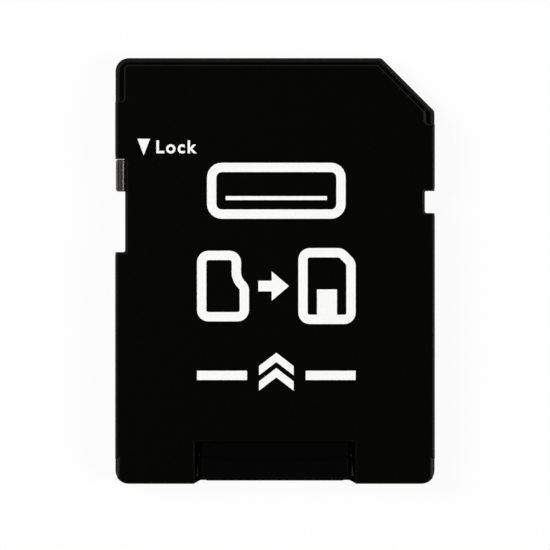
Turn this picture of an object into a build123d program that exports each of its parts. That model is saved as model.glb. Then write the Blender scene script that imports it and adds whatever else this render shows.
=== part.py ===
from build123d import *
import os

# A full-size memory card adapter with its small card pushed home, lying label side up.
# Millimetres. +Y is the end that enters the reader, +X the side with the cut corner,
# +Z the label side. The origin is the middle of the flat contact side, on the table.

# Outside of the adapter
WIDTH = 24.0
LENGTH = 32.0
HEIGHT = 2.1
PARTING_HEIGHT = 1.4
CUT_CORNER = 4.0
CUT_CORNER_TIP_RADIUS = 0.4
CORNER_RADIUS = 1.0
RAIL_WIDTH = 0.75
RAIL_STEP = 0.7
NOSE_BEVEL = 0.2
RAIL_BEVEL = 0.1
SEAM_BEVEL = 0.12

# Side notches: the lock window on the left, the small notch on the right
LOCK_WINDOW_START = 7.6
LOCK_WINDOW_LENGTH = 7.0
RIGHT_NOTCH_START = 10.0
RIGHT_NOTCH_LENGTH = 1.67
NOTCH_DEPTH = 0.75
NOTCH_CORNER_RADIUS = 0.15
NOTCH_BEVEL = 0.2

# Rim of the housing that stays bare round the front of the cover
RIM_WIDTH = 0.68
RIM_FRONT_WIDTH = 0.55
RIM_LEFT_LENGTH = 3.3
RIM_RIGHT_LENGTH = 5.0
RIM_END_RADIUS = 0.3
RIM_BEVEL = 0.3
PLATEAU_BEVEL = 0.1
COVER_EDGE_RADIUS = 0.25
REAR_LEDGE_WIDTH = 0.15
REAR_LEDGE_LENGTH = 1.9

# Small card
CARD_WIDTH = 11.0
CARD_LENGTH = 15.0
CARD_THICKNESS = 0.7
CARD_STEP = 1.3
CARD_NOSE_LENGTH = 3.7
CARD_TOOTH_LENGTH = 1.4
CARD_NOTCH_LENGTH = 1.5
CARD_NOTCH_DEPTH = 0.7
CARD_NOTCH_SLOPE = 0.35
CARD_CORNER_RADIUS = 0.5
CARD_NOSE_BEVEL = 0.2
RIDGE_HEIGHT = 0.3
RIDGE_MIDDLE_LENGTH = 1.5
RIDGE_SIDE_LENGTH = 1.84
RIDGE_BEVEL = 0.2
RIDGE_TAIL_BEVEL = 0.1
TAIL_SETBACK = 0.25

# Gold pads on the small card
CONTACT_COUNT = 8
CONTACT_PITCH = 1.1
CONTACT_WIDTH = 0.8
CONTACT_LENGTH = 2.9
CONTACT_START = 1.1
POWER_CONTACTS = (4, 6)
POWER_CONTACT_LEAD = 0.3
CONTACT_DEPTH = 0.05
CONTACT_CORNER_RADIUS = 0.2

# Pocket for the small card
POCKET_FLOOR = 0.97
CARD_LIFT = 0.03
POCKET_SIDE_GAP = 0.1
POCKET_ROOF_GAP = 0.04
STOP_GAP = 0.1
STOP_WALL = 1.0
RIDGE_WINDOW_LENGTH = 2.95
WINDOW_BEVEL = 0.05
MOUTH_FLARE = 0.45
MOUTH_FLARE_LENGTH = 0.6
GUIDE_LENGTH = 1.7
GUIDE_WIDTH = 0.3
GUIDE_HEIGHT = 0.45
GUIDE_SLOPE = 0.18
GUIDE_FRONT_SHARE = 0.4

# Reader pads, counted from the cut corner across
WIDE_PAD_COUNT = 7
PAD_PITCH = 2.5
EIGHTH_PAD_PITCH = 2.425
NINTH_PAD_PITCH = 1.7
FIRST_PAD_FROM_SIDE = 2.43
PAD_WINDOW_WIDTH = 1.7
NARROW_WINDOW_WIDTH = 1.1
PAD_LAP = 0.1
PAD_FROM_FRONT = 1.0
PAD_BACK_FROM_FRONT = 5.5
CORNER_PAD_BACK_FROM_FRONT = 6.4

# Stamped terminals
STRIP_THICKNESS = 0.15
LANE_WIDTH = 0.55
STRAP_WIDTH = 0.35
STRAP_GAP = 0.25
GROUND_TERMINAL = 6
GROUND_SECOND_PAD = 3
LANE_STRAIGHT_END = 0.3
FAN_BACK_FROM_STOP = 3.6
FINGER_WIDTH = 0.5
FINGER_ROOT_FROM_STOP = 1.8
FINGER_CREST_INTO_CONTACT = 1.45
FINGER_CREST_FLAT = 0.3
FINGER_TIP_LENGTH = 0.55
FINGER_TIP_DROP = 0.12
FINGER_BEND_RADIUS = 0.6
FINGER_GAP = 0.02

# Wells and bars inside the housing
FRONT_BLOCK_LENGTH = 6.6
KEEPER_BAR = 1.0
ROOT_BAR_FROM_STOP = 2.2
BAY_MARGIN = 0.4
WELL_FLOOR = 0.45
WELL_BACK_MARGIN = 0.8
WELL_HEADROOM = 0.08
CORE_WALL = 0.8
CORE_FLOOR = 0.6
CORE_END_WALL = 1.2
CORE_FRONT_WALL = 0.35
CORE_RIB = 1.4
CORE_RADIUS = 0.4

# Pins that locate the cover on the housing
PIN_RADIUS = 0.45
PIN_HEIGHT = 0.35
PIN_HOLE_GAP = 0.05
PIN_X = 8.4
FRONT_PIN_X = 8.75
FRONT_PIN_FROM_FRONT = 5.0

# Lock slider
SLIDER_LENGTH = 2.4
SLIDER_END_GAP = 0.05
SLIDER_OUTER_SETBACK = 0.05
SLIDER_INNER_GAP = 0.08
SLIDER_FACE_GAP = 0.03
SLIDER_EDGE_BEVEL = 0.12
SLIDER_GROOVE_WIDTH = 0.09
SLIDER_GROOVE_DEPTH = 0.05
SLIDER_GROOVE_COUNT = 2
NECK_HEIGHT = 0.5
NECK_GAP = 0.05
CHANNEL_WALL = 0.35
CHANNEL_WIDTH = 0.45
FLANGE_HEIGHT = 0.8
FLANGE_OVERHANG = 0.35

# Lines that several pieces share
SIDE = WIDTH / 2
FRONT = LENGTH / 2
BACK = -LENGTH / 2
CARD_UNDERSIDE = POCKET_FLOOR + CARD_LIFT
CARD_TOP = CARD_UNDERSIDE + CARD_THICKNESS
CARD_TAIL = BACK + TAIL_SETBACK
CARD_FRONT = CARD_TAIL + CARD_LENGTH
CARD_SIDE = CARD_WIDTH / 2
POCKET_SIDE = CARD_SIDE + POCKET_SIDE_GAP
POCKET_ROOF = CARD_TOP + POCKET_ROOF_GAP
STOP = CARD_FRONT + STOP_GAP
STOP_FRONT = STOP + STOP_WALL
STRIP_UNDERSIDE = RAIL_STEP
STRIP_TOP = STRIP_UNDERSIDE + STRIP_THICKNESS
BAY_FRONT = FRONT - FRONT_BLOCK_LENGTH
LOCK_WINDOW_FRONT = FRONT - LOCK_WINDOW_START
LOCK_WINDOW_BACK = LOCK_WINDOW_FRONT - LOCK_WINDOW_LENGTH
NOTCH_WALL = SIDE - NOTCH_DEPTH
CHANNEL_OUTER = NOTCH_WALL - CHANNEL_WALL
CHANNEL_INNER = CHANNEL_OUTER - CHANNEL_WIDTH
CARD_NOSE_SIDE = CARD_SIDE - CARD_STEP
CREST = CARD_FRONT - CONTACT_START - FINGER_CREST_INTO_CONTACT

# How far a cut runs past a face, and how closely an edge's height is matched
BEYOND = 1.0
LEVEL_MATCH = 0.001


def rect(left, right, back, front):
    """Plan rectangle between four edges."""
    centre = Pos((left + right) / 2, (back + front) / 2)
    return centre * Rectangle(right - left, front - back)


def slab(shape, low, high):
    """Raise a plan shape between two heights."""
    return extrude(Pos(0, 0, low) * shape, high - low, dir=(0, 0, 1))


def outline(points, radii):
    """Closed plan shape with a radius at each corner."""
    return make_face(FilletPolyline(*points, radius=radii, close=True))


def rounded_pocket(left, right, back, front, radius):
    """Plan rectangle with its corners rounded."""
    centre = Pos((left + right) / 2, (back + front) / 2)
    return centre * RectangleRounded(right - left, front - back, radius)


def edges_at(part, height, test):
    """Edges that lie at one height and whose middle passes a test."""
    level = part.edges().filter_by_position(
        Axis.Z, height - LEVEL_MATCH, height + LEVEL_MATCH
    )
    return [edge for edge in level if test(edge @ 0.5)]


def adapter_outline():
    """Plan of the full-size card, with one corner cut and the others rounded."""
    points = [
        (-SIDE, BACK),
        (SIDE, BACK),
        (SIDE, FRONT - CUT_CORNER),
        (SIDE - CUT_CORNER, FRONT),
        (-SIDE, FRONT),
    ]
    tips = [CUT_CORNER_TIP_RADIUS] * 2
    return outline(points, [CORNER_RADIUS] * 2 + tips + [CORNER_RADIUS])


def cut_corner_edge(x):
    """Y of the front edge above a given X, following the cut corner."""
    return min(FRONT, FRONT + SIDE - CUT_CORNER - x)


def side_notches():
    """Plan of the lock window on the left and the small notch on the right."""
    lock = rounded_pocket(
        -SIDE - BEYOND, -NOTCH_WALL, LOCK_WINDOW_BACK, LOCK_WINDOW_FRONT, NOTCH_CORNER_RADIUS
    )
    notch_front = FRONT - RIGHT_NOTCH_START
    notch_back = notch_front - RIGHT_NOTCH_LENGTH
    right = rounded_pocket(
        NOTCH_WALL, SIDE + BEYOND, notch_back, notch_front, NOTCH_CORNER_RADIUS
    )
    return lock + right


def rim_zone():
    """Plan of the front stretch where the housing's rim stays bare, longer on the right."""
    left = rect(-SIDE - BEYOND, 0, FRONT - RIM_LEFT_LENGTH, FRONT + BEYOND)
    return left + rect(0, SIDE + BEYOND, FRONT - RIM_RIGHT_LENGTH, FRONT + BEYOND)


def rim_bevel():
    """What the wide bevel takes off the top edge of the housing's bare rim."""
    block = slab(adapter_outline(), 0, PARTING_HEIGHT)
    bevelled = chamfer(edges_at(block, PARTING_HEIGHT, lambda p: True), RIM_BEVEL)
    return (block - bevelled) & slab(rim_zone(), 0, PARTING_HEIGHT)


def cover_outline():
    """Plan of the cover: the full outline less the bare front rim and rear ledges."""
    full = adapter_outline()
    inner = Pos(0, RIM_WIDTH - RIM_FRONT_WIDTH) * offset(full, -RIM_WIDTH, kind=Kind.INTERSECTION)
    ledge_front = BACK + REAR_LEDGE_LENGTH
    ledge = rect(SIDE - REAR_LEDGE_WIDTH, SIDE + BEYOND, BACK - BEYOND, ledge_front)
    shape = full - ((full - inner) & rim_zone()) - ledge - mirror(ledge, Plane.YZ)
    corners = [
        corner
        for corner in shape.vertices()
        if abs(abs(corner.X) - (SIDE - RIM_WIDTH)) < RIM_END_RADIUS / 2
        and min(
            abs(corner.Y - (FRONT - RIM_LEFT_LENGTH)), abs(corner.Y - (FRONT - RIM_RIGHT_LENGTH))
        ) < RIM_END_RADIUS / 2
    ]
    return fillet(corners, RIM_END_RADIUS)


def mouth_flare(side, depth):
    """Plan of the mouth's flared corners, outside a passage of the given half width."""
    outer = side + MOUTH_FLARE
    flare_front = BACK + depth
    return make_face(
        Polyline(
            (-outer, BACK),
            (-side, flare_front),
            (side, flare_front),
            (outer, BACK),
            (outer, BACK - BEYOND),
            (-outer, BACK - BEYOND),
            close=True,
        )
    )


def guide_section(share):
    """Section of the right-hand guide at a share of its full size, square to its run."""
    width, height = share * GUIDE_WIDTH, share * GUIDE_HEIGHT
    foot = PARTING_HEIGHT - SEAM_BEVEL
    return make_face(
        Polyline(
            (POCKET_SIDE, foot),
            (POCKET_SIDE + width, foot),
            (POCKET_SIDE + width, PARTING_HEIGHT + height),
            (POCKET_SIDE, PARTING_HEIGHT + height - share * GUIDE_SLOPE),
            close=True,
        )
    )


def ridge_guides():
    """Low rails beside the card's ridge that grow and slope towards the mouth."""
    back = BACK + MOUTH_FLARE_LENGTH
    sections = [
        Plane((0, y, 0), x_dir=(1, 0, 0), z_dir=(0, -1, 0)) * guide_section(share)
        for y, share in ((back + GUIDE_LENGTH, GUIDE_FRONT_SHARE), (back, 1))
    ]
    guide = loft(sections)
    return guide + mirror(guide, Plane.YZ)


def reader_pad_centres():
    """X of each reader pad, from the cut corner across."""
    first = SIDE - FIRST_PAD_FROM_SIDE
    centres = [first - count * PAD_PITCH for count in range(WIDE_PAD_COUNT)]
    centres.append(centres[-1] - EIGHTH_PAD_PITCH)
    centres.append(centres[-1] - NINTH_PAD_PITCH)
    return centres


def pad_window(index):
    """Left, right, back and front edge of one reader pad's window."""
    x = reader_pad_centres()[index]
    width = PAD_WINDOW_WIDTH if index < WIDE_PAD_COUNT else NARROW_WINDOW_WIDTH
    back = CORNER_PAD_BACK_FROM_FRONT if index == 0 else PAD_BACK_FROM_FRONT
    return x - width / 2, x + width / 2, FRONT - back, FRONT + BEYOND


def pad_shape(index):
    """Plan of one reader pad, lapped under the window's sides."""
    left, right, back, _ = pad_window(index)
    right += PAD_LAP
    front = cut_corner_edge(right) - PAD_FROM_FRONT
    return rect(left - PAD_LAP, right, back - PAD_LAP, front)


def contact_x(number):
    """X of a contact on the small card, contact 1 on the stepped side."""
    middle = (CARD_NOSE_SIDE - CARD_SIDE) / 2
    return middle + ((CONTACT_COUNT + 1) / 2 - number) * CONTACT_PITCH


def reader_pad_of(number):
    """Which reader pad a terminal ends in; the second ground pad is skipped."""
    return number - 1 if number <= GROUND_SECOND_PAD else number


def lane_shape(number):
    """Plan of the lane that runs from a reader pad to the root of its finger."""
    pad = reader_pad_of(number)
    start_x = reader_pad_centres()[pad]
    end_x = contact_x(number)
    half = LANE_WIDTH / 2
    fan_front = FRONT - CORNER_PAD_BACK_FROM_FRONT - LANE_STRAIGHT_END
    stations = [
        (start_x, pad_window(pad)[2]),
        (start_x, fan_front),
        (end_x, STOP + FAN_BACK_FROM_STOP),
        (end_x, STOP + FINGER_ROOT_FROM_STOP),
    ]
    left = [(x - half, y) for x, y in stations]
    right = [(x + half, y) for x, y in reversed(stations)]
    return make_face(Polyline(*left, *right, close=True))


def ground_strap():
    """Plan of the strap that joins both ground pads round the front of the two between."""
    first = pad_shape(GROUND_SECOND_PAD)
    second = pad_shape(reader_pad_of(GROUND_TERMINAL))
    back = FRONT - PAD_FROM_FRONT + STRAP_GAP
    front = back + STRAP_WIDTH
    left = second.bounding_box().min.X
    right = first.bounding_box().max.X
    strap = rect(left, right, back, front)
    for pad in (first, second):
        box = pad.bounding_box()
        strap += rect(box.min.X, box.max.X, box.max.Y - STRAP_WIDTH, front)
    return strap + first


def finger(number):
    """Spring finger, rising from its root to touch the card, with its tip turned down."""
    middle = STRIP_UNDERSIDE + STRIP_THICKNESS / 2
    crest = CARD_UNDERSIDE - FINGER_GAP - STRIP_THICKNESS / 2
    root_y = STOP + FINGER_ROOT_FROM_STOP
    x = contact_x(number)
    path = FilletPolyline(
        (x, root_y + LANE_WIDTH, middle),
        (x, root_y, middle),
        (x, CREST + FINGER_CREST_FLAT / 2, crest),
        (x, CREST - FINGER_CREST_FLAT / 2, crest),
        (x, CREST - FINGER_CREST_FLAT / 2 - FINGER_TIP_LENGTH, crest - FINGER_TIP_DROP),
        radius=FINGER_BEND_RADIUS,
    )
    start = Plane(path @ 0, x_dir=(1, 0, 0), z_dir=path % 0)
    return sweep(start * Rectangle(FINGER_WIDTH, STRIP_THICKNESS), path=path)


def terminal(number):
    """One stamped terminal: reader pad, lane and spring finger."""
    flat = pad_shape(reader_pad_of(number)) + lane_shape(number)
    if number == GROUND_TERMINAL:
        flat += ground_strap()
    return slab(flat, STRIP_UNDERSIDE, STRIP_TOP) + finger(number)


def finger_row():
    """X limits of the row of fingers, with a margin."""
    reach = FINGER_WIDTH / 2 + BAY_MARGIN
    return contact_x(CONTACT_COUNT) - reach, contact_x(1) + reach


def terminal_bay():
    """Plan of the fan-shaped bay over the lanes."""
    left, right = finger_row()
    centres = reader_pad_centres()
    reach = LANE_WIDTH / 2 + BAY_MARGIN
    fan_back = STOP + FAN_BACK_FROM_STOP
    return make_face(
        Polyline(
            (left, STOP_FRONT),
            (left, fan_back),
            (centres[-1] - reach, BAY_FRONT),
            (centres[0] + reach, BAY_FRONT),
            (right, fan_back),
            (right, STOP_FRONT),
            close=True,
        )
    )


def keeper_bars():
    """Plan of the bars that are moulded over the lanes and hold them down."""
    root_bar = STOP + ROOT_BAR_FROM_STOP
    middle_bar = (root_bar + BAY_FRONT) / 2
    bars = [rect(-SIDE, SIDE, start, start + KEEPER_BAR) for start in (root_bar, middle_bar)]
    return bars[0] + bars[1]


def core_pockets():
    """Plan of the pockets that keep the housing's walls even beside the card."""
    outer = CHANNEL_INNER - CHANNEL_WALL
    inner = POCKET_SIDE + CORE_WALL
    back = BACK + CORE_END_WALL
    front = STOP - CORE_FRONT_WALL
    length = (front - back - CORE_RIB) / 2
    shape = rounded_pocket(inner, outer, back, back + length, CORE_RADIUS)
    shape += rounded_pocket(inner, outer, front - length, front, CORE_RADIUS)
    return shape + mirror(shape, Plane.YZ)


def pin_places():
    """Where the locating pins stand: at the front, beside the stop and on the ribs."""
    back = BACK + CORE_END_WALL
    front = STOP - CORE_FRONT_WALL
    rows = [
        (FRONT_PIN_X, FRONT - FRONT_PIN_FROM_FRONT),
        (PIN_X, front + CORE_RIB / 2),
        (PIN_X, (back + front) / 2),
    ]
    return [(side * x, y) for x, y in rows for side in (-1, 1)]


def pins(radius, low, high):
    """Round pins, or the holes for them, at the locating places."""
    shape = Part()
    for x, y in pin_places():
        shape += slab(Pos(x, y) * Circle(radius), low, high)
    return shape


def slider_channel():
    """Space for the slider's neck and flange, shared between housing and cover."""
    neck = NECK_HEIGHT + 2 * NECK_GAP
    flange = FLANGE_HEIGHT + 2 * NECK_GAP
    slit = rect(-NOTCH_WALL - BEYOND, -CHANNEL_OUTER, LOCK_WINDOW_BACK, LOCK_WINDOW_FRONT)
    channel = rect(
        -CHANNEL_OUTER,
        -CHANNEL_INNER,
        LOCK_WINDOW_BACK - FLANGE_OVERHANG,
        LOCK_WINDOW_FRONT + FLANGE_OVERHANG,
    )
    neck_space = slab(slit, PARTING_HEIGHT - neck / 2, PARTING_HEIGHT + neck / 2)
    return neck_space + slab(channel, PARTING_HEIGHT - flange / 2, PARTING_HEIGHT + flange / 2)


def pocket_shape():
    """Plan of the small card's pocket, stepped so that the card goes in one way round."""
    left = -POCKET_SIDE
    nose_right = CARD_NOSE_SIDE + POCKET_SIDE_GAP
    shoulder = CARD_FRONT - CARD_NOSE_LENGTH + POCKET_SIDE_GAP
    slope = POCKET_SIDE - nose_right
    return make_face(
        Polyline(
            (left, BACK - BEYOND),
            (left, STOP),
            (nose_right, STOP),
            (nose_right, shoulder),
            (POCKET_SIDE, shoulder - slope),
            (POCKET_SIDE, BACK - BEYOND),
            close=True,
        )
    )


def bottom_housing(terminals):
    """Tray with guide rails, a comb of pad windows, card pocket and spring well."""
    body = slab(adapter_outline(), 0, PARTING_HEIGHT)
    body = chamfer(edges_at(body, PARTING_HEIGHT, lambda p: True), SEAM_BEVEL)
    nose = edges_at(body, 0, lambda p: p.Y > FRONT - CUT_CORNER)
    body = chamfer(nose, NOSE_BEVEL)
    body -= slab(rails(), -BEYOND, RAIL_STEP)
    rail_edges = edges_at(body, RAIL_STEP, lambda p: abs(p.X) > SIDE - LEVEL_MATCH)
    step_edges = edges_at(body, 0, lambda p: abs(p.X) > SIDE - RAIL_WIDTH - LEVEL_MATCH)
    body = chamfer(rail_edges + step_edges, RAIL_BEVEL)
    body -= rim_bevel()
    body -= slab(side_notches(), -BEYOND, HEIGHT)
    body += pins(PIN_RADIUS, PARTING_HEIGHT, PARTING_HEIGHT + PIN_HEIGHT)
    body += ridge_guides()
    body -= slab(pocket_shape(), POCKET_FLOOR, HEIGHT)
    body -= slab(mouth_flare(POCKET_SIDE, TAIL_SETBACK), -BEYOND, HEIGHT)
    body -= slab(mouth_flare(POCKET_SIDE, MOUTH_FLARE_LENGTH), POCKET_FLOOR, HEIGHT)
    body -= slab(terminal_bay() - keeper_bars(), STRIP_TOP, HEIGHT)
    body -= slab(core_pockets(), CORE_FLOOR, HEIGHT)
    body -= spring_well()
    body -= slider_channel()
    for index in range(len(reader_pad_centres())):
        body -= slab(rect(*pad_window(index)), -BEYOND, STRIP_UNDERSIDE)
    for piece in terminals:
        body -= piece
    return body


def rails():
    """Plan of the strips along both sides that are cut back to leave the guide rails."""
    rail = rect(SIDE - RAIL_WIDTH, SIDE + BEYOND, BACK - BEYOND, FRONT + BEYOND)
    return rail + mirror(rail, Plane.YZ)


def spring_well():
    """Recess under the fingers, open to the pocket and passing below the stop wall."""
    left, right = finger_row()
    back = CREST - FINGER_CREST_FLAT / 2 - FINGER_TIP_LENGTH - WELL_BACK_MARGIN
    front = STOP + ROOT_BAR_FROM_STOP
    return slab(rect(left, right, back, front), WELL_FLOOR, CARD_UNDERSIDE + WELL_HEADROOM)


def top_cover():
    """Cover plate with the ridge window, card pocket roof, pin holes and lock window."""
    body = slab(cover_outline(), PARTING_HEIGHT, HEIGHT)
    body = fillet(edges_at(body, HEIGHT, is_outer_edge), COVER_EDGE_RADIUS)
    body -= slab(side_notches(), -BEYOND, HEIGHT + BEYOND)
    notch_edges = edges_at(body, HEIGHT, lambda p: abs(abs(p.X) - NOTCH_WALL) < LEVEL_MATCH)
    body = chamfer(notch_edges, NOTCH_BEVEL)
    body = chamfer(edges_at(body, HEIGHT, is_plateau_edge), PLATEAU_BEVEL)
    body -= slab(pocket_shape(), -BEYOND, POCKET_ROOF)
    body -= ridge_window()
    body -= pins(PIN_RADIUS + PIN_HOLE_GAP, -BEYOND, PARTING_HEIGHT + PIN_HEIGHT + PIN_HOLE_GAP)
    return body - slider_channel()


def is_outer_edge(point):
    """Whether a point lies on the cover's sides or rear, behind the bare rim."""
    on_side = abs(point.X) > SIDE - REAR_LEDGE_WIDTH - CORNER_RADIUS / 2
    return point.Y < FRONT - RIM_LEFT_LENGTH and (on_side or point.Y < BACK + LEVEL_MATCH)


def is_plateau_edge(point):
    """Whether a point lies on the cover's edge along the bare rim."""
    along_front = point.Y > FRONT - RIM_FRONT_WIDTH - LEVEL_MATCH
    inside_rim = abs(abs(point.X) - (SIDE - RIM_WIDTH)) < RIM_END_RADIUS
    on_cut = point.X > 0 and point.Y > FRONT - RIM_RIGHT_LENGTH - LEVEL_MATCH
    return along_front or on_cut or (inside_rim and point.Y > FRONT - RIM_LEFT_LENGTH - LEVEL_MATCH)


def ridge_window():
    """Opening over the card's ridge, with its top edges bevelled."""
    side = POCKET_SIDE + MOUTH_FLARE
    front = BACK + TAIL_SETBACK + RIDGE_WINDOW_LENGTH
    hole = slab(rect(-side, side, BACK - BEYOND, front), POCKET_FLOOR, HEIGHT)
    lower = rect(-side, side, BACK - BEYOND, front)
    upper = rect(
        -side - WINDOW_BEVEL, side + WINDOW_BEVEL, BACK - BEYOND, front + WINDOW_BEVEL
    )
    bevel = loft([Pos(0, 0, HEIGHT - WINDOW_BEVEL) * lower, Pos(0, 0, HEIGHT) * upper])
    return hole + bevel


def lock_slider():
    """Slider in the lock window, held by a flange in its channel, at the unlocked end."""
    front = LOCK_WINDOW_FRONT - SLIDER_END_GAP
    back = front - SLIDER_LENGTH
    outer = -SIDE + SLIDER_OUTER_SETBACK
    inner = -NOTCH_WALL - SLIDER_INNER_GAP
    low = RAIL_STEP + SLIDER_FACE_GAP
    high = HEIGHT - SLIDER_FACE_GAP
    block = slab(rect(outer, inner, back, front), low, high)
    block = chamfer(block.edges(), SLIDER_EDGE_BEVEL)
    pitch = (inner - outer) / (SLIDER_GROOVE_COUNT + 1)
    for count in range(SLIDER_GROOVE_COUNT):
        x = outer + (count + 1) * pitch
        groove = rect(x - SLIDER_GROOVE_WIDTH / 2, x + SLIDER_GROOVE_WIDTH / 2, BACK, FRONT)
        block -= slab(groove, high - SLIDER_GROOVE_DEPTH, HEIGHT)
    flange_outer = -CHANNEL_OUTER + NECK_GAP
    flange_inner = -CHANNEL_INNER - NECK_GAP
    neck = rect(inner - SLIDER_EDGE_BEVEL, flange_inner, back, front)
    flange = rect(flange_outer, flange_inner, back - FLANGE_OVERHANG, front + FLANGE_OVERHANG)
    block += slab(neck, PARTING_HEIGHT - NECK_HEIGHT / 2, PARTING_HEIGHT + NECK_HEIGHT / 2)
    return block + slab(
        flange, PARTING_HEIGHT - FLANGE_HEIGHT / 2, PARTING_HEIGHT + FLANGE_HEIGHT / 2
    )


def card_outline():
    """Plan of the small card: straight left side, stepped and notched right side."""
    nose_right = CARD_NOSE_SIDE
    shoulder = CARD_FRONT - CARD_NOSE_LENGTH
    shoulder_end = shoulder - CARD_STEP
    notch_front = shoulder_end - CARD_TOOTH_LENGTH
    notch_back = notch_front - CARD_NOTCH_LENGTH
    notch_side = CARD_SIDE - CARD_NOTCH_DEPTH
    points = [
        (-CARD_SIDE, CARD_TAIL),
        (CARD_SIDE, CARD_TAIL),
        (CARD_SIDE, notch_back),
        (notch_side, notch_back + CARD_NOTCH_SLOPE),
        (notch_side, notch_front - CARD_NOTCH_SLOPE),
        (CARD_SIDE, notch_front),
        (CARD_SIDE, shoulder_end),
        (nose_right, shoulder),
        (nose_right, CARD_FRONT),
        (-CARD_SIDE, CARD_FRONT),
    ]
    small = CARD_NOTCH_SLOPE / 2
    corner = CARD_CORNER_RADIUS
    radii = [corner, corner, small, small, small, small, small, corner, corner, corner]
    return outline(points, radii)


def card_ridge():
    """Thick lip across the card's tail, hollowed along its front for a fingernail."""
    side_y = CARD_TAIL + RIDGE_SIDE_LENGTH
    lip = make_face(
        Line((-CARD_SIDE, side_y), (-CARD_SIDE, CARD_TAIL))
        + Line((-CARD_SIDE, CARD_TAIL), (CARD_SIDE, CARD_TAIL))
        + Line((CARD_SIDE, CARD_TAIL), (CARD_SIDE, side_y))
        + ThreePointArc(
            (CARD_SIDE, side_y), (0, CARD_TAIL + RIDGE_MIDDLE_LENGTH), (-CARD_SIDE, side_y)
        )
    )
    ridge = slab(lip & card_outline(), CARD_TOP, CARD_TOP + RIDGE_HEIGHT)
    top = CARD_TOP + RIDGE_HEIGHT
    middle = CARD_TAIL + RIDGE_MIDDLE_LENGTH
    nail_edge = edges_at(ridge, top, lambda p: abs(p.Y - middle) < LEVEL_MATCH)
    ridge = chamfer(nail_edge, RIDGE_BEVEL)
    tail_edge = edges_at(ridge, top, lambda p: p.Y < CARD_TAIL + CARD_CORNER_RADIUS)
    return chamfer(tail_edge, RIDGE_TAIL_BEVEL)


def card_contact(number):
    """One gold pad, let in flush with the card's underside."""
    start = CONTACT_START - (POWER_CONTACT_LEAD if number in POWER_CONTACTS else 0)
    front = CARD_FRONT - start
    back = CARD_FRONT - CONTACT_START - CONTACT_LENGTH
    x = contact_x(number)
    half = CONTACT_WIDTH / 2
    shape = rounded_pocket(x - half, x + half, back, front, CONTACT_CORNER_RADIUS)
    return slab(shape, CARD_UNDERSIDE, CARD_UNDERSIDE + CONTACT_DEPTH)


def card_body(contacts):
    """Moulded body of the small card, less the beds of its gold pads."""
    body = slab(card_outline(), CARD_UNDERSIDE, CARD_TOP) + card_ridge()
    body -= card_nose_ramp()
    for piece in contacts:
        body -= piece
    return body


def card_nose_ramp():
    """Wedge cut off the card's lower front edge, which lifts it over the fingers."""
    wedge = Plane.YZ * make_face(
        Polyline(
            (CARD_FRONT - CARD_NOSE_BEVEL, CARD_UNDERSIDE),
            (CARD_FRONT, CARD_UNDERSIDE + CARD_NOSE_BEVEL),
            (CARD_FRONT + BEYOND, CARD_UNDERSIDE + CARD_NOSE_BEVEL),
            (CARD_FRONT + BEYOND, CARD_UNDERSIDE - BEYOND),
            (CARD_FRONT - CARD_NOSE_BEVEL, CARD_UNDERSIDE - BEYOND),
            close=True,
        )
    )
    return extrude(wedge, SIDE, both=True)


def main():
    """Build every piece and write one STEP file for each."""
    numbers = range(1, CONTACT_COUNT + 1)
    terminals = [terminal(number) for number in numbers]
    contacts = [card_contact(number) for number in numbers]
    pieces = {
        "bottom_housing": bottom_housing(terminals),
        "top_cover": top_cover(),
        "lock_slider": lock_slider(),
        "card_body": card_body(contacts),
    }
    for number in numbers:
        pieces[f"terminal_{number}"] = terminals[number - 1]
        pieces[f"card_contact_{number}"] = contacts[number - 1]
    os.makedirs("parts", exist_ok=True)
    for name, piece in pieces.items():
        export_step(piece, f"parts/{name}.step")


main()
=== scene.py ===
import math

import bmesh
import bpy
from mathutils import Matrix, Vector
from mathutils.geometry import delaunay_2d_cdt


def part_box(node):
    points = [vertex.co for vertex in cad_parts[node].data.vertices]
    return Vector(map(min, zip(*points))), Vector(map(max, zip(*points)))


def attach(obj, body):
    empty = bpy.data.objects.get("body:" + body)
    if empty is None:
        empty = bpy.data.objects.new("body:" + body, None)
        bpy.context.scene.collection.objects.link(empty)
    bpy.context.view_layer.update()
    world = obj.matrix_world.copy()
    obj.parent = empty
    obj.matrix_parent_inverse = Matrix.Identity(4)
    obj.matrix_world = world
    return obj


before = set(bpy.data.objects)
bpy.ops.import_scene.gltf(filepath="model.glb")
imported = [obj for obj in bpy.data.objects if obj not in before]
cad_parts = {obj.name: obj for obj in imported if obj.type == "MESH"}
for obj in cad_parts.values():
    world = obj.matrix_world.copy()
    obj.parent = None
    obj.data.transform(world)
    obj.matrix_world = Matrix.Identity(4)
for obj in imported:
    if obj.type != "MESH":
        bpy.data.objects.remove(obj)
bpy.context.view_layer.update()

# A black memory card adapter with its small card pushed home, lying label side up.
# Metres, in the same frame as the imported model: +Y is the contact end, +Z the label side.
MM = 0.001
LABEL_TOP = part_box("top_cover")[1].z

# Printed marks on the label, in millimetres; PRINT_X is the middle line of the large ones
INK_THICKNESS = 0.006
INK_SINK = 0.004
PRINT_X = 0.1
STROKE = 0.7
THIN_STROKE = 0.3
ARC_STEPS = 6

LOCK_MARK_X = -9.85
LOCK_MARK_WIDTH = 0.95
LOCK_MARK_TOP = 9.9
LOCK_MARK_HEIGHT = 1.24
LOCK_WORD_LEFT = -8.9
LOCK_WORD_BASE = 8.8
LOCK_WORD_HEIGHT = 0.98
LOCK_WORD_WEIGHT = 0.024
LOCK_WORD_SPACING = 1.2

NAME_FIELD_Y = 6.0
NAME_FIELD_WIDTH = 10.4
NAME_FIELD_HEIGHT = 4.2
NAME_FIELD_RADIUS = 1.1
NAME_LINE_INSET = 1.4
NAME_LINE_DROP = 0.55

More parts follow.
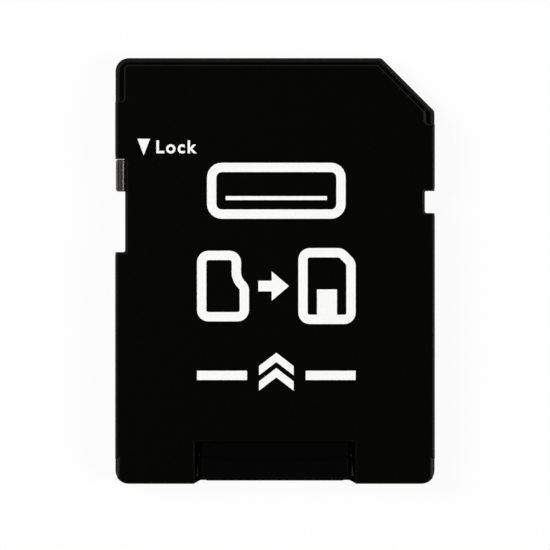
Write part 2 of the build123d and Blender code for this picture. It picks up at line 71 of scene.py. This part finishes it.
SIGN_Y = -1.15
SIGN_GAP = 0.7
CARD_SIGN_WIDTH = 3.9
CARD_SIGN_HEIGHT = 5.3
CARD_SIGN_STEP = 0.6
CARD_SIGN_STEP_FROM_TOP = 2.0
ADAPTER_SIGN_WIDTH = 4.3
ADAPTER_SIGN_HEIGHT = 5.7
ADAPTER_SIGN_CUT = 0.95
SIGN_RADIUS = 0.85
INNER_SIGN_WIDTH = 1.5
INNER_SIGN_HEIGHT = 1.9
ARROW_LENGTH = 2.3
ARROW_HEAD_LENGTH = 1.3
ARROW_HEAD_WIDTH = 2.2
ARROW_SHAFT_WIDTH = 0.8

MOUTH_SIGN_Y = -7.85
MOUTH_SIGN_WIDTH = 11.9
CHEVRON_WIDTH = 2.6
CHEVRON_RISE = 1.0
CHEVRON_STROKE = 0.7
CHEVRON_PITCH = 1.15
RULE_GAP = 0.9

# What Blender's 2D mesher is asked for, and how near the points of letters weld
TRIANGLES_INSIDE = 1
POINT_WELD = 0.00001

# Mould grain of the plastics: its noise, and the stretch of it that colour and gloss follow
GRAIN_DETAIL = 3.0
GRAIN_ROUGHNESS = 0.6
GRAIN_STRENGTH = 0.6
GRAIN_COLOUR_LOW = 0.35
GRAIN_COLOUR_HIGH = 0.65
GLOSS_LOW = 0.3
GLOSS_HIGH = 0.7
PLASTIC_IOR = 1.53

# Drawing lines along the gold strips, in millimetres: gloss follows the same stretch of noise
DRAWN_LINE_WIDTH = 0.05
DRAWN_LINE_DEPTH = 0.002
DRAWN_LINE_STRETCH = 0.06
DRAWN_LINE_DETAIL = 2.0
DRAWN_LINE_STRENGTH = 0.5
GOLD_SMOOTH = 0.18
GOLD_ROUGH = 0.3

# Thin spots in the ink, in millimetres
INK_SPOT_SIZE = 0.09
INK_SPOT_DETAIL = 2.0
INK_SPOT_LOW = 0.3
INK_SPOT_HIGH = 0.45
INK_ROUGHNESS = 0.5
INK_IOR = 1.5

# Inner edge of the lock slider, where a painted highlight stands in for the light its edge
# catches, in millimetres
EDGE_HIGHLIGHT_X = -11.37
EDGE_HIGHLIGHT_WIDTH = 0.09

# Camera: it looks straight down on the label, from a distance in metres
CAMERA_DISTANCE = 0.330
CAMERA_NEAR = 0.01
SENSOR_WIDTH = 36.0
PIXELS = 550
PIXELS_PER_MM = 13.33
AIM_X = 0.0
AIM_Y = -0.32

# Floor, in metres
FLOOR_SIZE = 12.0
FLOOR_DROP = 0.00001
FLOOR_GLOW = 0.93
PAPER_ROUGHNESS = 0.6

# Part of the floor that the adapter lies over, which stays dark, in millimetres
COVERED_SIDE = 11.2
COVERED_BACK = -15.6
COVERED_FRONT = 15.9
COVERED_CORNER = 23.9

# Light from all round: where the walls of light and the dark sky begin and end, as shares of
# a direction's length, and how bright each is
WALL_EDGE_LOW = 0.35
WALL_EDGE_HIGH = 0.8
WALL_LEVEL = 1.35
END_LEVEL = 0.35
SKY_EDGE_LOW = 0.1
SKY_EDGE_HIGH = 0.6
ZENITH_LEVEL = 0.05


def linear(code):
    """Linear colour with full alpha from an sRGB hex code."""
    values = [int(code[i:i + 2], 16) / 255 for i in (1, 3, 5)]
    return (*(v / 12.92 if v <= 0.04045 else ((v + 0.055) / 1.055) ** 2.4 for v in values), 1.0)


def node(tree, kind, settings=None, inputs=None):
    """Add a node with its settings, and set or link its inputs."""
    made = tree.nodes.new(kind)
    for name, value in (settings or {}).items():
        setattr(made, name, value)
    for name, value in (inputs or {}).items():
        if isinstance(value, bpy.types.NodeSocket):
            tree.links.new(value, made.inputs[name])
        else:
            made.inputs[name].default_value = value
    return made


def new_material(name):
    """Empty material and its node tree."""
    material = bpy.data.materials.new(name)
    material.use_nodes = True
    material.node_tree.nodes.clear()
    return material, material.node_tree


def moulded_plastic(name, dark, light, grain_mm, depth_mm, smooth, rough, shine):
    """Plastic out of a spark-eroded mould: fine pits that spread what it reflects."""
    material, tree = new_material(name)
    point = node(tree, "ShaderNodeTexCoord").outputs["Object"]
    pits = node(
        tree,
        "ShaderNodeTexNoise",
        inputs={
            "Vector": point,
            "Scale": 1 / (grain_mm * MM),
            "Detail": GRAIN_DETAIL,
            "Roughness": GRAIN_ROUGHNESS,
        },
    ).outputs["Fac"]
    bump = node(
        tree,
        "ShaderNodeBump",
        inputs={"Height": pits, "Distance": depth_mm * MM, "Strength": GRAIN_STRENGTH},
    )
    share = node(
        tree,
        "ShaderNodeMapRange",
        inputs={"Value": pits, "From Min": GRAIN_COLOUR_LOW, "From Max": GRAIN_COLOUR_HIGH},
    )
    colour = node(
        tree,
        "ShaderNodeMix",
        {"data_type": "RGBA"},
        {"Factor": share.outputs["Result"], "A": linear(dark), "B": linear(light)},
    )
    gloss = node(
        tree,
        "ShaderNodeMapRange",
        inputs={
            "Value": pits,
            "From Min": GLOSS_LOW,
            "From Max": GLOSS_HIGH,
            "To Min": smooth,
            "To Max": rough,
        },
    )
    shader = node(
        tree,
        "ShaderNodeBsdfPrincipled",
        inputs={
            "Base Color": colour.outputs["Result"],
            "Roughness": gloss.outputs["Result"],
            "IOR": PLASTIC_IOR,
            "Specular IOR Level": shine,
            "Normal": bump.outputs["Normal"],
        },
    )
    node(tree, "ShaderNodeOutputMaterial", inputs={"Surface": shader.outputs["BSDF"]})
    return material


def paint_edge_highlight(material, middle, width, pale):
    """Painted highlight: paler plastic along an edge, standing in for the light that the edge
    catches.
    """
    tree = material.node_tree
    shader = next(item for item in tree.nodes if item.type == "BSDF_PRINCIPLED")
    plain = shader.inputs["Base Color"].links[0].from_socket
    point = node(tree, "ShaderNodeTexCoord").outputs["Object"]
    across = node(tree, "ShaderNodeSeparateXYZ", inputs={"Vector": point}).outputs["X"]
    highlight_band = node(
        tree,
        "ShaderNodeMath",
        {"operation": "COMPARE"},
        {0: across, 1: middle * MM, 2: width / 2 * MM},
    )
    colour = node(
        tree,
        "ShaderNodeMix",
        {"data_type": "RGBA"},
        {"Factor": highlight_band.outputs["Value"], "A": plain, "B": linear(pale)},
    )
    tree.links.new(colour.outputs["Result"], shader.inputs["Base Color"])


def plated_gold(name):
    """Thin gold over stamped copper alloy: bright, with faint drawing lines along the strip."""
    material, tree = new_material(name)
    point = node(tree, "ShaderNodeTexCoord").outputs["Object"]
    stretched = node(
        tree,
        "ShaderNodeMapping",
        inputs={"Vector": point, "Scale": (1.0, DRAWN_LINE_STRETCH, 1.0)},
    )
    lines = node(
        tree,
        "ShaderNodeTexNoise",
        inputs={
            "Vector": stretched.outputs["Vector"],
            "Scale": 1 / (DRAWN_LINE_WIDTH * MM),
            "Detail": DRAWN_LINE_DETAIL,
        },
    ).outputs["Fac"]
    bump = node(
        tree,
        "ShaderNodeBump",
        inputs={
            "Height": lines,
            "Distance": DRAWN_LINE_DEPTH * MM,
            "Strength": DRAWN_LINE_STRENGTH,
        },
    )
    gloss = node(
        tree,
        "ShaderNodeMapRange",
        inputs={
            "Value": lines,
            "From Min": GLOSS_LOW,
            "From Max": GLOSS_HIGH,
            "To Min": GOLD_SMOOTH,
            "To Max": GOLD_ROUGH,
        },
    )
    shader = node(
        tree,
        "ShaderNodeBsdfPrincipled",
        inputs={
            "Base Color": linear("#E8BE6A"),
            "Metallic": 1.0,
            "Roughness": gloss.outputs["Result"],
            "Normal": bump.outputs["Normal"],
        },
    )
    node(tree, "ShaderNodeOutputMaterial", inputs={"Surface": shader.outputs["BSDF"]})
    return material


def white_ink(name):
    """Pad-printed white ink: opaque and slightly chalky, thinner in tiny spots."""
    material, tree = new_material(name)
    point = node(tree, "ShaderNodeTexCoord").outputs["Object"]
    spots = node(
        tree,
        "ShaderNodeTexNoise",
        inputs={
            "Vector": point,
            "Scale": 1 / (INK_SPOT_SIZE * MM),
            "Detail": INK_SPOT_DETAIL,
        },
    ).outputs["Fac"]
    share = node(
        tree,
        "ShaderNodeMapRange",
        inputs={"Value": spots, "From Min": INK_SPOT_LOW, "From Max": INK_SPOT_HIGH},
    )
    colour = node(
        tree,
        "ShaderNodeMix",
        {"data_type": "RGBA"},
        {"Factor": share.outputs["Result"], "A": linear("#F7F7F5"), "B": linear("#FFFFFD")},
    )
    shader = node(
        tree,
        "ShaderNodeBsdfPrincipled",
        inputs={
            "Base Color": colour.outputs["Result"],
            "Roughness": INK_ROUGHNESS,
            "IOR": INK_IOR,
        },
    )
    node(tree, "ShaderNodeOutputMaterial", inputs={"Surface": shader.outputs["BSDF"]})
    return material


def dress(names, material):
    """Give CAD nodes one material."""
    for name in names:
        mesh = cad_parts[name].data
        mesh.materials.clear()
        mesh.materials.append(material)


def ink_piece(name, draw):
    """Flat printed shape, raised to the label and given the ink's thickness."""
    shape = bmesh.new()
    draw(shape)
    bmesh.ops.recalc_face_normals(shape, faces=shape.faces)
    for face in shape.faces:
        if face.normal.z < 0:
            face.normal_flip()
    raised = bmesh.ops.extrude_face_region(shape, geom=shape.faces[:])
    top = [item for item in raised["geom"] if isinstance(item, bmesh.types.BMVert)]
    bmesh.ops.translate(shape, verts=top, vec=(0, 0, INK_THICKNESS))
    bmesh.ops.recalc_face_normals(shape, faces=shape.faces)
    bmesh.ops.scale(shape, vec=(MM, MM, MM), verts=shape.verts)
    bmesh.ops.translate(shape, verts=shape.verts, vec=(0, 0, LABEL_TOP - INK_SINK * MM))
    mesh = bpy.data.meshes.new(name)
    shape.to_mesh(mesh)
    shape.free()
    mesh.materials.append(INK)
    piece = bpy.data.objects.new(name, mesh)
    bpy.context.scene.collection.objects.link(piece)
    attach(piece, "adapter")


def polygon(shape, points):
    """One flat face through points in millimetres."""
    return shape.faces.new([shape.verts.new((x, y, 0)) for x, y in points])


def bar(shape, left, right, middle, width):
    """Straight printed rule."""
    low, high = middle - width / 2, middle + width / 2
    polygon(shape, [(left, low), (right, low), (right, high), (left, high)])


def outline(shape, points, radius, stroke):
    """Closed line of even width, with every corner turned on the same radius."""
    known = set(shape.faces)
    face = polygon(shape, points)
    turns = [(loop.vert, (math.pi - loop.calc_angle()) / 2) for loop in face.loops]
    for corner, half_turn in turns:
        bmesh.ops.bevel(
            shape,
            geom=[corner],
            offset=radius * math.tan(half_turn),
            segments=ARC_STEPS,
            profile=0.5,
            affect="VERTICES",
            material=-1,
        )
    face = next(item for item in shape.faces if item not in known)
    bmesh.ops.inset_region(shape, faces=[face], thickness=stroke, use_boundary=True)
    bmesh.ops.delete(shape, geom=[face], context="FACES_ONLY")


def lock_triangle(shape):
    """Arrow head that points the way the slider goes to lock."""
    half = LOCK_MARK_WIDTH / 2
    polygon(
        shape,
        [
            (LOCK_MARK_X - half, LOCK_MARK_TOP),
            (LOCK_MARK_X, LOCK_MARK_TOP - LOCK_MARK_HEIGHT),
            (LOCK_MARK_X + half, LOCK_MARK_TOP),
        ],
    )


def letters(word, weight, spacing):
    """Points and triangles of a word in the built-in font, with crossing strokes merged."""
    curve = bpy.data.curves.new(word, "FONT")
    curve.body = word
    curve.offset = weight
    curve.space_character = spacing
    holder = bpy.data.objects.new(word, curve)
    bpy.context.scene.collection.objects.link(holder)
    bpy.context.view_layer.update()
    flat = bpy.data.meshes.new_from_object(holder)
    bpy.data.objects.remove(holder)
    bpy.data.curves.remove(curve)
    points = [vert.co.to_2d() for vert in flat.vertices]
    strokes = [list(face.vertices) for face in flat.polygons]
    bpy.data.meshes.remove(flat)
    points, _, triangles, _, _, covering = delaunay_2d_cdt(
        points, [], strokes, TRIANGLES_INSIDE, POINT_WELD
    )
    inked = [triangle for triangle, covered_by in zip(triangles, covering) if covered_by]
    return points, inked


def lock_word(shape):
    """The switch's plain function word."""
    points, triangles = letters("Lock", LOCK_WORD_WEIGHT, LOCK_WORD_SPACING)
    left = min(point.x for point in points)
    low = min(point.y for point in points)
    high = max(point.y for point in points)
    size = LOCK_WORD_HEIGHT / (high - low)
    corners = []
    for point in points:
        x = LOCK_WORD_LEFT + (point.x - left) * size
        y = LOCK_WORD_BASE + (point.y - low) * size
        corners.append(shape.verts.new((x, y, 0)))
    for triangle in triangles:
        shape.faces.new([corners[index] for index in triangle])


def name_field(shape):
    """Empty frame with one thin rule, to write a name in."""
    x, y = NAME_FIELD_WIDTH / 2, NAME_FIELD_HEIGHT / 2
    corners = [(-x, -y), (x, -y), (x, y), (-x, y)]
    points = [(PRINT_X + across, NAME_FIELD_Y + up) for across, up in corners]
    outline(shape, points, NAME_FIELD_RADIUS, STROKE)
    half = x - NAME_LINE_INSET
    bar(shape, PRINT_X - half, PRINT_X + half, NAME_FIELD_Y - NAME_LINE_DROP, THIN_STROKE)


def insertion_sign(shape):
    """Small card, arrow, adapter with the card in it: how the two go together."""
    whole = CARD_SIGN_WIDTH + ARROW_LENGTH + ADAPTER_SIGN_WIDTH + 2 * SIGN_GAP
    left = PRINT_X - whole / 2
    right = left + CARD_SIGN_WIDTH
    card_sign(shape, left, right)
    tail = right + SIGN_GAP
    tip = tail + ARROW_LENGTH
    arrow(shape, tail, tip)
    left = tip + SIGN_GAP
    adapter_sign(shape, left, left + ADAPTER_SIGN_WIDTH)


def card_sign(shape, left, right):
    """Outline of the small card, with the step in its right side."""
    low, high = SIGN_Y - CARD_SIGN_HEIGHT / 2, SIGN_Y + CARD_SIGN_HEIGHT / 2
    step = high - CARD_SIGN_STEP_FROM_TOP
    points = [
        (left, low),
        (right, low),
        (right, step - CARD_SIGN_STEP),
        (right - CARD_SIGN_STEP, step),
        (right - CARD_SIGN_STEP, high),
        (left, high),
    ]
    outline(shape, points, SIGN_RADIUS, STROKE)


def arrow(shape, tail, tip):
    """Solid arrow to the right."""
    neck = tip - ARROW_HEAD_LENGTH
    shaft, head = ARROW_SHAFT_WIDTH / 2, ARROW_HEAD_WIDTH / 2
    upper = [(tip, 0), (neck, head), (neck, shaft), (tail, shaft)]
    lower = [(x, -y) for x, y in reversed(upper[1:])]
    polygon(shape, [(x, SIGN_Y + y) for x, y in upper + lower])


def adapter_sign(shape, left, right):
    """Outline of the adapter with its cut corner, and the small card in its mouth."""
    low, high = SIGN_Y - ADAPTER_SIGN_HEIGHT / 2, SIGN_Y + ADAPTER_SIGN_HEIGHT / 2
    points = [
        (left, low),
        (right, low),
        (right, high - ADAPTER_SIGN_CUT),
        (right - ADAPTER_SIGN_CUT, high),
        (left, high),
    ]
    outline(shape, points, SIGN_RADIUS, STROKE)
    middle, half = (left + right) / 2, INNER_SIGN_WIDTH / 2
    card_middle = low + STROKE + INNER_SIGN_HEIGHT / 2
    bar(shape, middle - half, middle + half, card_middle, INNER_SIGN_HEIGHT)


def mouth_sign(shape):
    """Two chevrons between rules, that point the way the adapter enters the reader."""
    half = CHEVRON_WIDTH / 2
    for row in (-1, 0):
        foot = MOUTH_SIGN_Y + CHEVRON_PITCH * row
        polygon(
            shape,
            [
                (PRINT_X - half, foot),
                (PRINT_X, foot + CHEVRON_RISE),
                (PRINT_X + half, foot),
                (PRINT_X + half, foot + CHEVRON_STROKE),
                (PRINT_X, foot + CHEVRON_RISE + CHEVRON_STROKE),
                (PRINT_X - half, foot + CHEVRON_STROKE),
            ],
        )
    inner, outer = half + RULE_GAP, MOUTH_SIGN_WIDTH / 2
    bar(shape, PRINT_X - outer, PRINT_X - inner, MOUTH_SIGN_Y, STROKE)
    bar(shape, PRINT_X + inner, PRINT_X + outer, MOUTH_SIGN_Y, STROKE)


def open_floor(tree):
    """0 on the floor that the adapter lies over, 1 elsewhere."""
    point = node(tree, "ShaderNodeTexCoord").outputs["Object"]
    axes = node(tree, "ShaderNodeSeparateXYZ", inputs={"Vector": point}).outputs
    half_length = (COVERED_FRONT - COVERED_BACK) / 2
    across = node(
        tree,
        "ShaderNodeMath",
        {"operation": "COMPARE"},
        {0: axes["X"], 1: 0.0, 2: COVERED_SIDE * MM},
    )
    along = node(
        tree,
        "ShaderNodeMath",
        {"operation": "COMPARE"},
        {0: axes["Y"], 1: (COVERED_FRONT - half_length) * MM, 2: half_length * MM},
    )
    to_corner = node(tree, "ShaderNodeMath", {"operation": "ADD"}, {0: axes["X"], 1: axes["Y"]})
    short_of_cut = node(
        tree,
        "ShaderNodeMath",
        {"operation": "LESS_THAN"},
        {0: to_corner.outputs["Value"], 1: COVERED_CORNER * MM},
    )
    covered = node(
        tree,
        "ShaderNodeMath",
        {"operation": "MULTIPLY"},
        {0: across.outputs["Value"], 1: along.outputs["Value"]},
    )
    covered = node(
        tree,
        "ShaderNodeMath",
        {"operation": "MULTIPLY"},
        {0: covered.outputs["Value"], 1: short_of_cut.outputs["Value"]},
    )
    left_open = node(
        tree, "ShaderNodeMath", {"operation": "SUBTRACT"}, {0: 1.0, 1: covered.outputs["Value"]}
    )
    return left_open.outputs["Value"]


def floor_material():
    """White paper sweep: it shows as white, with the object's soft shadow kept."""
    material, tree = new_material("white_paper_sweep")
    paper = node(
        tree,
        "ShaderNodeBsdfPrincipled",
        inputs={"Base Color": linear("#F8F8F8"), "Roughness": PAPER_ROUGHNESS},
    )
    glow = node(tree, "ShaderNodeEmission", inputs={"Color": linear("#FFFFFF"), "Strength": 1.0})
    path = node(tree, "ShaderNodeLightPath").outputs
    seen = path["Is Camera Ray"]
    for ray in ("Is Glossy Ray", "Is Transmission Ray"):
        seen = node(tree, "ShaderNodeMath", {"operation": "MAXIMUM"}, {0: seen, 1: path[ray]})
        seen = seen.outputs["Value"]
    for factor in (open_floor(tree), FLOOR_GLOW):
        seen = node(tree, "ShaderNodeMath", {"operation": "MULTIPLY"}, {0: seen, 1: factor})
        seen = seen.outputs["Value"]
    mix = node(
        tree,
        "ShaderNodeMixShader",
        inputs={0: seen, 1: paper.outputs["BSDF"], 2: glow.outputs["Emission"]},
    )
    node(tree, "ShaderNodeOutputMaterial", inputs={"Surface": mix.outputs["Shader"]})
    return material


def make_floor():
    """Large pale floor under the object."""
    shape = bmesh.new()
    bmesh.ops.create_grid(shape, x_segments=1, y_segments=1, size=FLOOR_SIZE / 2)
    bmesh.ops.translate(shape, verts=shape.verts, vec=(0, 0, -FLOOR_DROP))
    mesh = bpy.data.meshes.new("floor")
    shape.to_mesh(mesh)
    shape.free()
    mesh.materials.append(floor_material())
    floor = bpy.data.objects.new("floor", mesh)
    bpy.context.scene.collection.objects.link(floor)


def make_world():
    """Soft walls of light left and right, greyer before and behind, nearly black overhead."""
    world = bpy.data.worlds.new("studio")
    bpy.context.scene.world = world
    world.use_nodes = True
    tree = world.node_tree
    tree.nodes.clear()
    direction = node(tree, "ShaderNodeTexCoord").outputs["Generated"]
    axes = node(tree, "ShaderNodeSeparateXYZ", inputs={"Vector": direction}).outputs
    across = node(tree, "ShaderNodeMath", {"operation": "ABSOLUTE"}, {0: axes["X"]})
    walls = node(
        tree,
        "ShaderNodeMapRange",
        inputs={
            "Value": across.outputs["Value"],
            "From Min": WALL_EDGE_LOW,
            "From Max": WALL_EDGE_HIGH,
            "To Min": END_LEVEL,
            "To Max": WALL_LEVEL,
        },
    )
    roof = node(
        tree,
        "ShaderNodeMapRange",
        inputs={
            "Value": axes["Z"],
            "From Min": SKY_EDGE_LOW,
            "From Max": SKY_EDGE_HIGH,
            "To Min": 1.0,
            "To Max": ZENITH_LEVEL,
        },
    )
    level = node(
        tree,
        "ShaderNodeMath",
        {"operation": "MULTIPLY"},
        {0: walls.outputs["Result"], 1: roof.outputs["Result"]},
    )
    background = node(
        tree,
        "ShaderNodeBackground",
        inputs={"Color": linear("#FFFFFF"), "Strength": level.outputs["Value"]},
    )
    node(tree, "ShaderNodeOutputWorld", inputs={"Surface": background.outputs["Background"]})


def make_lamp(name, place, size, power):
    """Soft square lamp that faces the object."""
    lamp = bpy.data.lights.new(name, "AREA")
    lamp.size = size
    lamp.energy = power
    holder = bpy.data.objects.new(name, lamp)
    holder.location = place
    holder.rotation_euler = (-Vector(place)).to_track_quat("-Z", "Y").to_euler()
    bpy.context.scene.collection.objects.link(holder)


def make_camera():
    """Camera straight over the label, with the contact end at the top of its picture."""
    camera = bpy.data.cameras.new("camera")
    camera.sensor_width = SENSOR_WIDTH
    seen_width = PIXELS / PIXELS_PER_MM * MM
    camera.lens = SENSOR_WIDTH * CAMERA_DISTANCE / seen_width
    camera.clip_start = CAMERA_NEAR
    holder = bpy.data.objects.new("camera", camera)
    holder.location = (AIM_X * MM, AIM_Y * MM, LABEL_TOP + CAMERA_DISTANCE)
    bpy.context.scene.collection.objects.link(holder)
    bpy.context.scene.camera = holder


# The mould grain of real ABS is 0.02 to 0.05 mm; it is drawn at about 0.1 mm, or 1.5 pixels,
# so that it still shows.
# Black ABS, matt from the mould: nearly no sheen from above, a grey one along the face.
COVER = moulded_plastic(
    "cover_abs_black",
    dark="#030301",
    light="#050503",
    grain_mm=0.11,
    depth_mm=0.010,
    smooth=0.32,
    rough=0.42,
    shine=0.065,
)
# The same ABS with a shallower grain: its bevels catch a little more light.
HOUSING = moulded_plastic(
    "housing_abs_black",
    dark="#030302",
    light="#050504",
    grain_mm=0.13,
    depth_mm=0.008,
    smooth=0.3,
    rough=0.4,
    shine=0.07,
)
# Grey ABS, satin: a soft dark grey, with a painted highlight along its inner edge.
SLIDER = moulded_plastic(
    "slider_abs_grey",
    dark="#403F3D",
    light="#4B4A48",
    grain_mm=0.09,
    depth_mm=0.004,
    smooth=0.28,
    rough=0.36,
    shine=0.5,
)
# Painted highlight: a pale band along the slider's inner edge, in place of light caught by its
# bevel.
paint_edge_highlight(SLIDER, EDGE_HIGHLIGHT_X, EDGE_HIGHLIGHT_WIDTH, "#9C9890")
# Epoxy moulding compound: a finer grain and less sheen than the shells, so a flatter black.
CARD = moulded_plastic(
    "card_epoxy_black",
    dark="#030303",
    light="#050505",
    grain_mm=0.06,
    depth_mm=0.003,
    smooth=0.32,
    rough=0.4,
    shine=0.05,
)
# Gold flash on copper alloy: a warm metal shine in the comb and on the card's pads.
GOLD = plated_gold("gold_flash_on_copper")
# White pad-printing ink: bright and a little chalky, with a dull sheen.
INK = white_ink("pad_print_white")
GOLD_NODES = [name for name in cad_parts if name.startswith(("terminal_", "card_contact_"))]

dress(["top_cover"], COVER)
dress(["bottom_housing"], HOUSING)
dress(["lock_slider"], SLIDER)
dress(["card_body"], CARD)
dress(GOLD_NODES, GOLD)

ink_piece("print_lock_arrow", lock_triangle)
ink_piece("print_lock_word", lock_word)
ink_piece("print_name_field", name_field)
ink_piece("print_insertion_sign", insertion_sign)
ink_piece("print_mouth_sign", mouth_sign)

make_floor()
make_world()
make_lamp("left_lamp", place=(-0.45, 0.15, 0.35), size=0.35, power=3.1)
make_lamp("right_lamp", place=(0.5, -0.1, 0.3), size=0.35, power=2.5)
make_camera()
bpy.context.scene.view_settings.view_transform = "Standard"
